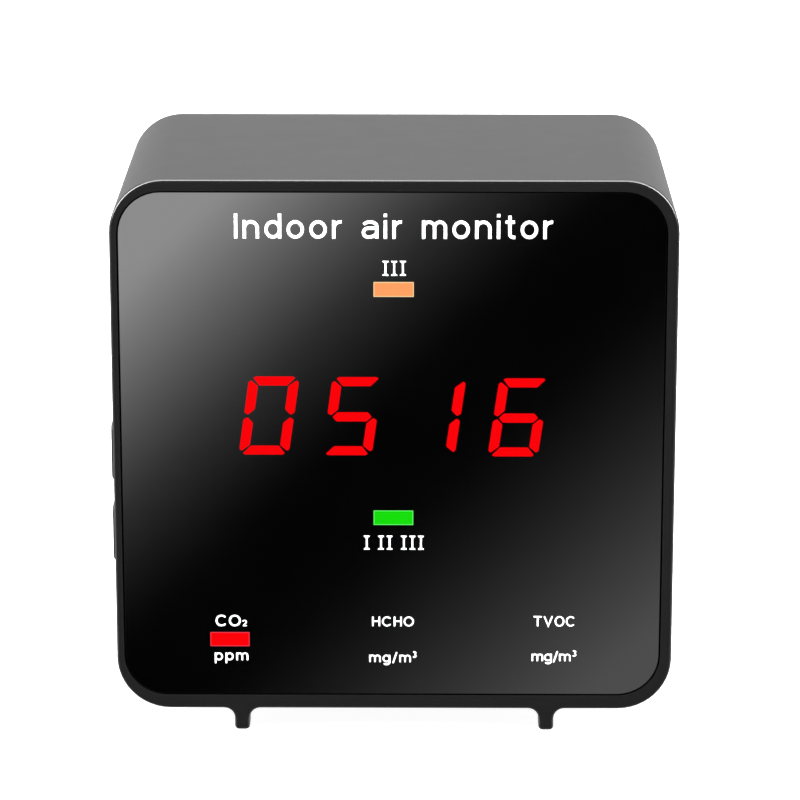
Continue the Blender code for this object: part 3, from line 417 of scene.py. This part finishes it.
def smoothing_nodes(angle):
    """Geometry nodes that smooth every edge flatter than the angle, and keep the others sharp."""
    group = bpy.data.node_groups.new("smooth_by_angle", "GeometryNodeTree")
    group.interface.new_socket("Geometry", in_out="INPUT", socket_type="NodeSocketGeometry")
    group.interface.new_socket("Geometry", in_out="OUTPUT", socket_type="NodeSocketGeometry")
    start = group.nodes.new("NodeGroupInput")
    end = group.nodes.new("NodeGroupOutput")
    bend = node(group, "GeometryNodeInputMeshEdgeAngle").outputs["Unsigned Angle"]
    flat = node(group, "FunctionNodeCompare", {"A": bend, "B": angle}, operation="LESS_EQUAL")
    faces = node(group, "GeometryNodeSetShadeSmooth", {0: start.outputs[0], "Shade Smooth": True})
    edges = node(
        group,
        "GeometryNodeSetShadeSmooth",
        {0: faces.outputs[0], "Shade Smooth": flat.outputs["Result"]},
        domain="EDGE",
    )
    group.links.new(edges.outputs[0], end.inputs[0])
    return group


def finish_nodes():
    """Every CAD node is shaded smooth between its sharp edges and gets its slot's finish."""
    smoothing = smoothing_nodes(SMOOTH_UNDER)
    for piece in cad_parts.values():
        weld = piece.modifiers.new("weld", "WELD")
        weld.merge_threshold = WELD_WITHIN
        flat = piece.modifiers.new("flats", "DECIMATE")
        flat.decimate_type = "DISSOLVE"
        flat.angle_limit = FLAT_UNDER
        smooth = piece.modifiers.new("smooth", "NODES")
        smooth.node_group = smoothing
        weighted = piece.modifiers.new("normals", "WEIGHTED_NORMAL")
        weighted.keep_sharp = True
        for slot in piece.material_slots:
            slot.material = FINISHES[slot.material.name.split(".")[0]]


# ------------------------------------------------------------ print and lights


def rounded_outline(corners, radius):
    """A convex outline with each corner rounded off by a short curve."""
    outline = []
    count = len(corners)
    for i, corner in enumerate(corners):
        here = Vector(corner)
        before, after = Vector(corners[i - 1]) - here, Vector(corners[(i + 1) % count]) - here
        reach = min(radius, before.length * 0.45, after.length * 0.45)
        start, end = here + before.normalized() * reach, here + after.normalized() * reach
        for step in range(CORNER_STEPS + 1):
            t = step / CORNER_STEPS
            outline.append((1 - t) ** 2 * start + 2 * t * (1 - t) * here + t**2 * end)
    return outline


def add_plate(bm, outline):
    """A thin plate in the panel's surface from an outline of (x, z) places."""
    front = [bm.verts.new((x, PANEL_FACE - PRINT_PROUD, z)) for x, z in outline]
    back = [bm.verts.new((x, PANEL_FACE + PRINT_SUNK, z)) for x, z in outline]
    bm.faces.new(front)
    bm.faces.new(back[::-1])
    for i in range(len(front)):
        j = (i + 1) % len(front)
        bm.faces.new((front[j], front[i], back[i], back[j]))


def panel_piece(name, bm, look):
    """A piece on the front panel from a finished bmesh."""
    bmesh.ops.recalc_face_normals(bm, faces=bm.faces)
    mesh = bpy.data.meshes.new(name)
    bm.to_mesh(mesh)
    bm.free()
    mesh.materials.append(look)
    piece = bpy.data.objects.new(name, mesh)
    bpy.context.scene.collection.objects.link(piece)
    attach(piece, BODY)
    return piece


def segment_outlines():
    """The display's seven segments, upright, about the middle of a digit: mitred bars with a gap."""
    bar_tip, bar_outer, bar_inner = 2.69 * MM, 2.40 * MM, 1.78 * MM
    top_outer, top_tip, top_inner = 5.18 * MM, 5.00 * MM, 3.98 * MM
    mid_tip, mid_flat, mid_half, mid_z = 2.50 * MM, 1.93 * MM, 0.61 * MM, -0.08 * MM
    inner, outer = 1.93 * MM, 3.21 * MM
    tip = 2.92 * MM
    top = [
        (-bar_tip, top_tip), (-bar_outer, top_outer), (bar_outer, top_outer),
        (bar_tip, top_tip), (bar_inner, top_inner), (-bar_inner, top_inner),
    ]
    middle = [
        (-mid_tip, mid_z), (-mid_flat, mid_z + mid_half), (mid_flat, mid_z + mid_half),
        (mid_tip, mid_z), (mid_flat, mid_z - mid_half), (-mid_flat, mid_z - mid_half),
    ]
    upper_right = [
        (inner, 3.90 * MM), (tip, 4.68 * MM), (outer, 4.42 * MM),
        (outer, 0.42 * MM), (tip - 0.2 * MM, 0.12 * MM), (inner, 0.86 * MM),
    ]
    lower_right = [(x, -z - 0.10 * MM if z < MM else -z) for x, z in upper_right]
    return {
        "a": top,
        "b": upper_right,
        "c": lower_right,
        "d": [(x, -z) for x, z in top],
        "e": [(-x, z) for x, z in lower_right],
        "f": [(-x, z) for x, z in upper_right],
        "g": middle,
    }


# The segments that each digit lights
LIT = {"0": "abcdef", "1": "bc", "5": "acdfg", "6": "acdefg"}


def make_digits():
    """The display's four digits, slanting to the right."""
    shapes = segment_outlines()
    for place, digit in enumerate(DIGITS):
        centre_x = DIGIT_MIDDLE.x + (place - (len(DIGITS) - 1) / 2) * DIGIT_PITCH
        centre_z = DIGIT_MIDDLE.z - DIGIT_ROW_DROP * centre_x
        bm = bmesh.new()
        for segment in LIT[digit]:
            outline = rounded_outline(shapes[segment], SEGMENT_ROUND)
            add_plate(bm, [(centre_x + x + DIGIT_SLANT * z, centre_z + z) for x, z in outline])
        panel_piece(f"digit_{place + 1}", bm, RED_SEGMENT)


def make_window(name, x, z, look):
    """A lamp's window, x and z being its middle, z from the underside of the body."""
    half_x, half_z = LAMP_HALF
    corners = [(-half_x, -half_z), (half_x, -half_z), (half_x, half_z), (-half_x, half_z)]
    outline = rounded_outline([(x + dx, FOOT_HEIGHT + z + dz) for dx, dz in corners], WINDOW_ROUND)
    bm = bmesh.new()
    add_plate(bm, outline)
    panel_piece(name, bm, look)


def roman_one(x, bottom, height):
    """A serifed stroke: a stem with a bracketed bar at each end."""
    stem, bar = 0.115 * height / 2, 0.39 * height / 2
    slab, bracket = 0.07 * height, 0.15 * height
    right = [
        (bar, 0.0), (bar, slab), (stem, bracket),
        (stem, height - bracket), (bar, height - slab), (bar, height),
    ]
    left = [(-dx, dz) for dx, dz in right[::-1]]
    return [(x + dx, bottom + dz) for dx, dz in right + left]


def make_numerals(name, places, bottom, height):
    """A row of roman ones at the given places across."""
    bm = bmesh.new()
    for x in places:
        add_plate(bm, roman_one(x, FOOT_HEIGHT + bottom, height))
    panel_piece(name, bm, SELF_LIT_WHITE_INK)


# Lower-case letters' height and their reach below the line, where a capital is 1 high
X_HEIGHT = 0.735
DESCENDER = 0.28


def ellipse(centre_x, centre_z, radius_x, radius_z, start, end, steps=14):
    """Points on an elliptical arc, angles in degrees from +X towards +Z."""
    points = []
    for i in range(steps + 1):
        angle = math.radians(start + (end - start) * i / steps)
        points.append((centre_x + radius_x * math.cos(angle), centre_z + radius_z * math.sin(angle)))
    return points


def arch(left, right, half):
    """A rounded arch between two upright centre lines, ending in the right one's foot."""
    radius = (right - left) / 2
    rise = radius * 1.05
    spring = X_HEIGHT - half - rise
    return ellipse((left + right) / 2, spring, radius, rise, 180, 0) + [(right, 0)]


def bowl(width, half):
    """The closed round of o, d, p and g."""
    return ellipse(width / 2, X_HEIGHT / 2, width / 2 - half, X_HEIGHT / 2 - half, 0, 360, 32)


def letter(char, half):
    """A letter's width and its strokes' centre lines, half being half a stroke's thickness."""
    x_top = X_HEIGHT
    if char == " ":
        return 0.34, []
    if char == "I":
        return 2 * half, [[(half, 0), (half, 1)]]
    if char == "i":
        return 2 * half, [[(half, 0), (half, x_top)], [(half, 1 - 2 * half), (half, 1)]]
    if char == "/":
        return 0.46, [[(half, -0.1), (0.46 - half, 1)]]
    if char == "r":
        turn = 0.27
        arm = ellipse(half + turn, x_top - turn - half, turn, turn, 180, 82)
        return 0.40, [[(half, 0), (half, x_top)], arm]
    if char == "t":
        stem, foot = 0.17, 0.13
        hook = ellipse(stem + foot, foot + half, foot, foot, 180, 270, 6) + [(0.38, half)]
        return 0.38, [[(stem, 0.93)] + hook, [(0, x_top - half), (0.36, x_top - half)]]
    if char in "no":
        width = 0.64 if char == "n" else 0.68
        if char == "o":
            return width, [bowl(width, half)]
        return width, [[(half, 0), (half, x_top)], arch(half, width - half, half)]
    if char == "m":
        width = 0.98
        stems = [half, width / 2, width - half]
        return width, [[(half, 0), (half, x_top)]] + [arch(a, b, half) for a, b in zip(stems, stems[1:])]
    if char in "dpg":
        width = 0.66
        right = width - half
        if char == "d":
            return width, [bowl(width, half), [(right, 0), (right, 1)]]
        if char == "p":
            return width, [bowl(width, half), [(half, -DESCENDER), (half, x_top)]]
        radius = width / 2 - half
        drop = DESCENDER - half - 0.03
        tail = ellipse(width / 2, -0.03, radius, drop, 0, -150)
        return width, [bowl(width, half), [(right, x_top)] + tail]
    if char == "a":
        width = 0.65
        right, shoulder, waist = width - half, x_top - 0.23, 0.42
        top = ellipse(width / 2, shoulder, width / 2 - half, 0.23 - half, 0, 158)
        belly_x, belly_z = 0.25, (waist + half) / 2
        belly = ellipse(belly_x, belly_z, belly_x - half, (waist - half) / 2, 90, 270)
        rise = ellipse(belly_x, 0.27, right - belly_x, 0.27 - half, 270, 350)
        return width, [[(right, 0)] + top, [(right, waist)] + belly + rise[1:]]
    if char in "CO":
        width = 0.86
        opening = 40 if char == "C" else 0
        round_part = ellipse(width / 2, 0.5, width / 2 - half, 0.5 - half, opening, 360 - opening, 40)
        return width * (0.97 if char == "C" else 1.0), [round_part]
    if char == "H":
        width = 0.68
        sides = [[(x, 0), (x, 1)] for x in (half, width - half)]
        return width, sides + [[(half, 0.52), (width - half, 0.52)]]
    if char == "T":
        return 0.74, [[(0, 1 - half), (0.74, 1 - half)], [(0.37, 1 - half), (0.37, 0)]]
    if char == "V":
        return 0.86, [[(half, 1), (0.43, half), (0.86 - half, 1)]]
    if char == "2":
        width, radius = 0.62, 0.26
        top = ellipse(width / 2, 1 - half - radius, width / 2 - half, radius, 165, -35)
        return width, [top + [(half * 1.6, half)], [(half, half), (width, half)]]
    if char == "3":
        width = 0.60
        upper = ellipse(width / 2 - 0.02, 0.76, width / 2 - half - 0.02, 0.24 - half, 155, -90)
        lower = ellipse(width / 2 - 0.02, 0.27, width / 2 - half, 0.27 - half, 90, -155)
        return width, [upper, lower]
    raise ValueError(f"no letter shape for {char!r}")


def shortened(line, length):
    """The line without the last stretch of that length."""
    line = list(line)
    while len(line) > 2 and (line[-1] - line[-2]).length <= length:
        length -= (line[-1] - line[-2]).length
        line.pop()
    line[-1] = line[-1] + (line[-2] - line[-1]).normalized() * length
    return line


def stroke_faces(points, half, rounded):
    """A stroke along a centre line as quads, mitred where they meet, and its end caps."""
    line = [Vector(p) for p in points]
    closed = (line[0] - line[-1]).length < 1e-6
    if closed:
        line = line[:-1]
    elif rounded:
        line = shortened(shortened(line, half)[::-1], half)[::-1]
    count = len(line)
    rails = []
    for i, here in enumerate(line):
        behind = line[i - 1] if closed or i else None
        ahead = line[(i + 1) % count] if closed or i < count - 1 else None
        along = [(b - a).normalized() for a, b in ((behind, here), (here, ahead)) if a and b]
        across = [Vector((-d.y, d.x)) for d in along]
        middle = sum(across, Vector((0, 0))).normalized()
        reach = half / max(middle.dot(across[0]), 0.4)
        rails.append((here + middle * reach, here - middle * reach))
    faces = []
    for i in range(count if closed else count - 1):
        (a, b), (c, d) = rails[i], rails[(i + 1) % count]
        faces.append([a, b, d, c])
    if rounded and not closed:
        for end, inner, (a, b) in ((line[0], line[1], rails[0]), (line[-1], line[-2], rails[-1])):
            out = (end - inner).normalized() * half
            side = a - end
            angles = [math.pi * step / CAP_STEPS for step in range(1, CAP_STEPS)]
            turn = [end + side * math.cos(t) + out * math.sin(t) for t in angles]
            faces.append([a, *turn, b])
    return faces


def add_words(bm, text, left, right, baseline, cap, weight, rounded=False, stretch=1.0):
    """Words spaced to reach from left to right, each letter a plate.

    A capital is cap high, and a stroke is weight times that thick.
    """
    half = weight / 2
    widths = [letter(char, half)[0] * stretch for char in text]
    gaps = max(len(text) - 1, 1)
    gap = ((right - left) / cap - sum(widths)) / gaps
    pen = 0.0
    for char, width in zip(text, widths):
        faces = []
        for stroke in letter(char, half)[1]:
            faces += stroke_faces(stroke, half, rounded)
        faces = [
            [(left + (pen + p.x * stretch) * cap, FOOT_HEIGHT + baseline + p.y * cap) for p in face]
            for face in faces
        ]
        if faces:
            add_joined_plate(bm, faces)
        pen += width + gap


def counter_clockwise(outline):
    """The outline, turned round if it runs clockwise."""
    area = sum(a[0] * b[1] - b[0] * a[1] for a, b in zip(outline, outline[1:] + outline[:1]))
    return outline if area > 0 else outline[::-1]


def add_joined_plate(bm, faces):
    """A thin plate in the panel's surface that covers several overlapping outlines."""
    scale = 1.0 / MM
    places, loops = [], []
    for face in faces:
        loops.append(list(range(len(places), len(places) + len(face))))
        places += [Vector((x * scale, z * scale)) for x, z in counter_clockwise(face)]
    joined = delaunay_2d_cdt(places, [], loops, 1, 1e-5)
    spots, triangles, owners = joined[0], joined[2], joined[5]
    kept = [t for t, owner in zip(triangles, owners) if owner]
    front = [bm.verts.new((p.x * MM, PANEL_FACE - PRINT_PROUD, p.y * MM)) for p in spots]
    back = [bm.verts.new((p.x * MM, PANEL_FACE + PRINT_SUNK, p.y * MM)) for p in spots]
    sides = {}
    for corners in kept:
        bm.faces.new([front[i] for i in corners])
        bm.faces.new([back[i] for i in reversed(corners)])
        for a, b in zip(corners, corners[1:] + corners[:1]):
            if (b, a) in sides:
                del sides[(b, a)]
            else:
                sides[(a, b)] = True
    for a, b in sides:
        bm.faces.new((front[b], front[a], back[a], back[b]))
    loose = [v for v in front + back if not v.link_faces]
    bmesh.ops.delete(bm, geom=loose, context="VERTS")


def make_words(name, *parts):
    """One printed piece from several words, each given as add_words takes it."""
    bm = bmesh.new()
    for part in parts:
        add_words(bm, *part)
    panel_piece(name, bm, SELF_LIT_WHITE_INK)


def make_all_numerals():
    """III over the upper window, and I II III under the one in the middle."""
    pitch, group_gap = 1.10 * MM, 1.84 * MM
    make_numerals("air_level_numeral", [(i - 1) * pitch for i in range(3)], 58.00 * MM, 1.93 * MM)
    places, x = [], -3.53 * MM
    for count in (1, 2, 3):
        places += [x + i * pitch for i in range(count)]
        x = places[-1] + group_gap
    make_numerals("grade_numerals", places, 21.70 * MM, 1.88 * MM)


def make_print():
    """All that is printed on the panel, heights taken from the underside of the body."""
    title = ("Indoor air monitor", -20.18 * MM, 20.08 * MM, 62.80 * MM, 3.22 * MM, 0.128)
    make_words("title_print", title)
    make_all_numerals()
    weight, unit_cap = 0.135, 1.40 * MM
    small, small_weight = 0.86 * MM, 0.16
    make_words(
        "co2_label",
        ("CO", -23.14 * MM, -19.87 * MM, 11.24 * MM, 1.55 * MM, weight, True, 1.16),
        ("2", -19.70 * MM, -19.17 * MM, 11.25 * MM, small, small_weight, True, 1.15),
    )
    make_words("co2_unit", ("ppm", -23.30 * MM, -18.94 * MM, 6.56 * MM, 1.46 * MM, weight, True, 1.10))
    make_words("hcho_label", ("HCHO", -2.86 * MM, 2.56 * MM, 11.27 * MM, 1.34 * MM, weight, True, 1.15))
    make_words("tvoc_label", ("TVOC", 18.05 * MM, 23.47 * MM, 11.30 * MM, 1.42 * MM, weight, True, 1.03))
    for name, left, right, baseline in (
        ("hcho_unit", -3.24 * MM, 2.91 * MM, 6.35 * MM),
        ("tvoc_unit", 17.85 * MM, 23.66 * MM, 6.54 * MM),
    ):
        power_left = right - 0.55 * MM
        make_words(
            name,
            ("mg/m", left, power_left - 0.18 * MM, baseline, unit_cap, weight, True, 1.10),
            ("3", power_left, right, baseline + 0.64 * MM, small, small_weight, True, 1.1),
        )


def make_display():
    make_digits()
    make_window("air_level_window", -0.07 * MM, 56.22 * MM, ORANGE_WINDOW)
    make_window("grade_window", -0.09 * MM, 26.00 * MM, GREEN_WINDOW)
    make_window("co2_window", -21.30 * MM, 9.47 * MM, RED_WINDOW)


# --------------------------------------------------------------------- studio


# The sheen that the panel mirrors. It lies low in front, where these give its corner, its
# size and its middle as slopes: sideways or up over forward. It runs from the top left to
# the bottom right, as (place, brightness on screen), with 0 and 1 at the panel's corners.
SHEEN_LEFT, SHEEN_WIDTH = -0.080, 0.147
SHEEN_TOP, SHEEN_HEIGHT = -0.222, 0.1415
WINDOW_ACROSS, WINDOW_UP = -0.006, -0.293
SHEEN = (
    (-0.60, 0.31), (-0.15, 0.565), (0.08, 0.565), (0.30, 0.195), (0.46, 0.0),
    (0.53, 0.0), (0.92, 0.315), (1.15, 0.315), (1.60, 0.23),
)
SCREEN_GAMMA = 2.2
PANEL_MIRRORS = 0.042

# The hoop of light over the object, as (height, brightness)
HOOP_Y = -0.16
HOOP_STRENGTH = 26.0
HOOP = (
    (-0.5, 0.0), (-0.35, 0.04), (0.0, 0.04), (0.30, 1.0), (0.75, 1.0), (0.90, 0.45), (1.0, 0.28),
)

FLOOR_HALF = 30.0
FLOOR_GREY = 0.6


def around(tree, value, middle, near, far):
    """1 within a distance of the middle value, fading to 0 at a further one."""
    distance = math_node(tree, "ABSOLUTE", math_node(tree, "SUBTRACT", value, middle))
    return remap(tree, distance, near, far, 1.0, 0.0)


def profile(tree, value, low, high, points):
    """A curve through (place, height) points, places from low to high and heights from 0 to 1."""
    ramp = node(tree, "ShaderNodeValToRGB", {0: remap(tree, value, low, high, 0.0, 1.0)})
    stops = ramp.color_ramp.elements
    while len(stops) < len(points):
        stops.new(0.5)
    for stop, (place, height) in zip(stops, points):
        stop.position = (place - low) / (high - low)
        stop.color = (height, height, height, 1.0)
    return ramp.outputs["Color"]


def make_world():
    """A pale studio, dimmer in front, with a hoop of light over the object for its rounded edges
    to catch, and a sheen low in front that the panel mirrors."""
    world = bpy.data.worlds.new("studio")
    world.use_nodes = True
    bpy.context.scene.world = world
    tree = world.node_tree
    tree.nodes.clear()
    way = node(tree, "ShaderNodeTexCoord").outputs["Generated"]
    x, y, z = node(tree, "ShaderNodeSeparateXYZ", {0: way}).outputs
    forward = math_node(tree, "MAXIMUM", math_node(tree, "MULTIPLY", y, -1.0), 0.001)
    across = math_node(tree, "DIVIDE", x, forward)
    up = math_node(tree, "DIVIDE", z, forward)
    side = math_node(tree, "DIVIDE", math_node(tree, "SUBTRACT", across, SHEEN_LEFT), SHEEN_WIDTH)
    drop = math_node(tree, "DIVIDE", math_node(tree, "SUBTRACT", SHEEN_TOP, up), SHEEN_HEIGHT)
    diagonal = math_node(tree, "MULTIPLY", math_node(tree, "ADD", side, drop), 0.5)
    seen = math_node(tree, "POWER", profile(tree, diagonal, -1.2, 2.2, SHEEN), SCREEN_GAMMA)
    mirrored = math_node(tree, "DIVIDE", seen, PANEL_MIRRORS)
    ring = around(tree, y, HOOP_Y, 0.06, 0.20)
    hoop = math_node(tree, "MULTIPLY", ring, profile(tree, z, -0.6, 1.0, HOOP))
    plain = remap(tree, y, -0.6, 0.6, 0.08, 0.82)
    dome = math_node(tree, "ADD", plain, math_node(tree, "MULTIPLY", hoop, HOOP_STRENGTH))
    sideways = around(tree, across, WINDOW_ACROSS, 0.10, 0.16)
    upward = around(tree, up, WINDOW_UP, 0.09, 0.15)
    window = math_node(tree, "MULTIPLY", sideways, upward)
    level = node(tree, "ShaderNodeMix", {"Factor": window, "A": dome, "B": mirrored}).outputs["Result"]
    shader = node(tree, "ShaderNodeBackground", {"Color": (1.0, 1.0, 1.0, 1.0), "Strength": level})
    output = tree.nodes.new("ShaderNodeOutputWorld")
    tree.links.new(shader.outputs[0], output.inputs["Surface"])


def make_softbox():
    """A square softbox overhead and a little behind, which aims at the body's middle."""
    light = bpy.data.lights.new("overhead_softbox", "AREA")
    light.shape = "RECTANGLE"
    light.size = light.size_y = 1.6
    light.energy = 24.0
    lamp = bpy.data.objects.new("overhead_softbox", light)
    lamp.location = (0.0, 0.25, 1.4)
    way = Vector((0.0, 0.0, MIDDLE_Z)) - lamp.location
    lamp.rotation_euler = way.to_track_quat("-Z", "Y").to_euler()
    bpy.context.scene.collection.objects.link(lamp)


def make_floor():
    """A plain pale floor of lit paper, with faint mottling."""
    bm = bmesh.new()
    quarters = ((-1, -1), (1, -1), (1, 1), (-1, 1))
    bm.faces.new([bm.verts.new((x * FLOOR_HALF, y * FLOOR_HALF, 0.0)) for x, y in quarters])
    mesh = bpy.data.meshes.new("floor")
    bm.to_mesh(mesh)
    bm.free()
    grey = (FLOOR_GREY,) * 3
    made, tree, shader = new_material(
        "pale_paper", grey, 0.9, Specular_IOR_Level=0.1, Emission_Strength=0.94
    )
    darker, lighter = ((FLOOR_GREY + change,) * 3 for change in (-0.01, 0.01))
    tint = blend_colour(tree, noise(tree, 60 * MM, 3.0), darker, lighter)
    tree.links.new(tint, shader.inputs["Base Color"])
    mesh.materials.append(made)
    floor = bpy.data.objects.new("floor", mesh)
    floor.visible_glossy = False
    bpy.context.scene.collection.objects.link(floor)


def make_camera():
    camera = bpy.data.cameras.new("camera")
    camera.lens = CAMERA_LENS
    camera.clip_start = 0.01
    camera.clip_end = 200.0
    holder = bpy.data.objects.new("camera", camera)
    level = math.cos(CAMERA_ELEVATION)
    across, back = math.sin(CAMERA_AZIMUTH) * level, math.cos(CAMERA_AZIMUTH) * level
    way = Vector((across, -back, math.sin(CAMERA_ELEVATION)))
    holder.location = CAMERA_TARGET + CAMERA_DISTANCE * way
    upright = (-way).to_track_quat("-Z", "Y")
    holder.rotation_euler = (upright @ Quaternion((0.0, 0.0, 1.0), CAMERA_ROLL)).to_euler()
    bpy.context.scene.collection.objects.link(holder)
    bpy.context.scene.camera = holder


finish_nodes()
make_print()
make_display()
make_floor()
make_world()
make_softbox()
make_camera()
bpy.context.scene.view_settings.view_transform = "Standard"
